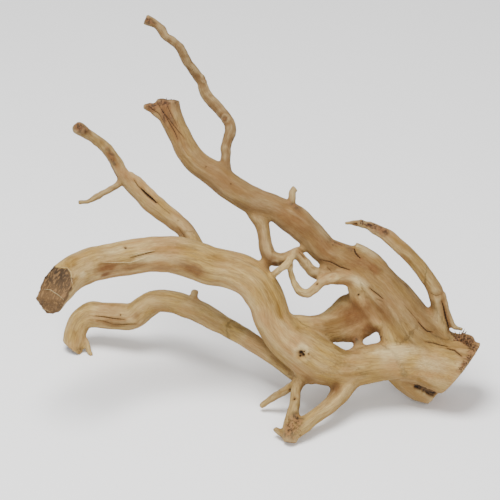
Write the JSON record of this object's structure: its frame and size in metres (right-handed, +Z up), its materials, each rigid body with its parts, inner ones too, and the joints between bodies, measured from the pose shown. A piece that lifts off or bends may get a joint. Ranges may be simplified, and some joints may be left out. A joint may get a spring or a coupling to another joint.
{
  "type": "spiderwood root",
  "caption": "Forked, weathered root of bare wood with a sawn stump, a long curved arm and thin twisting branches, standing on low points at its base.",
  "frame": {"origin": "middle of the bounding box, on the floor that the feet stand on", "axes": "+Z up; +X towards the sawn stump; -Y towards the side that the picture shows"},
  "size_m": [0.2888, 0.1686, 0.232],
  "materials": {
    "bare_wood": "bare, weathered and bark-stripped wood, matte, with brown saw cuts and ochre stains"
  },
  "bodies": {
    "root": {"spiderwood_root": "bare_wood"}
  },
  "joints": []
}
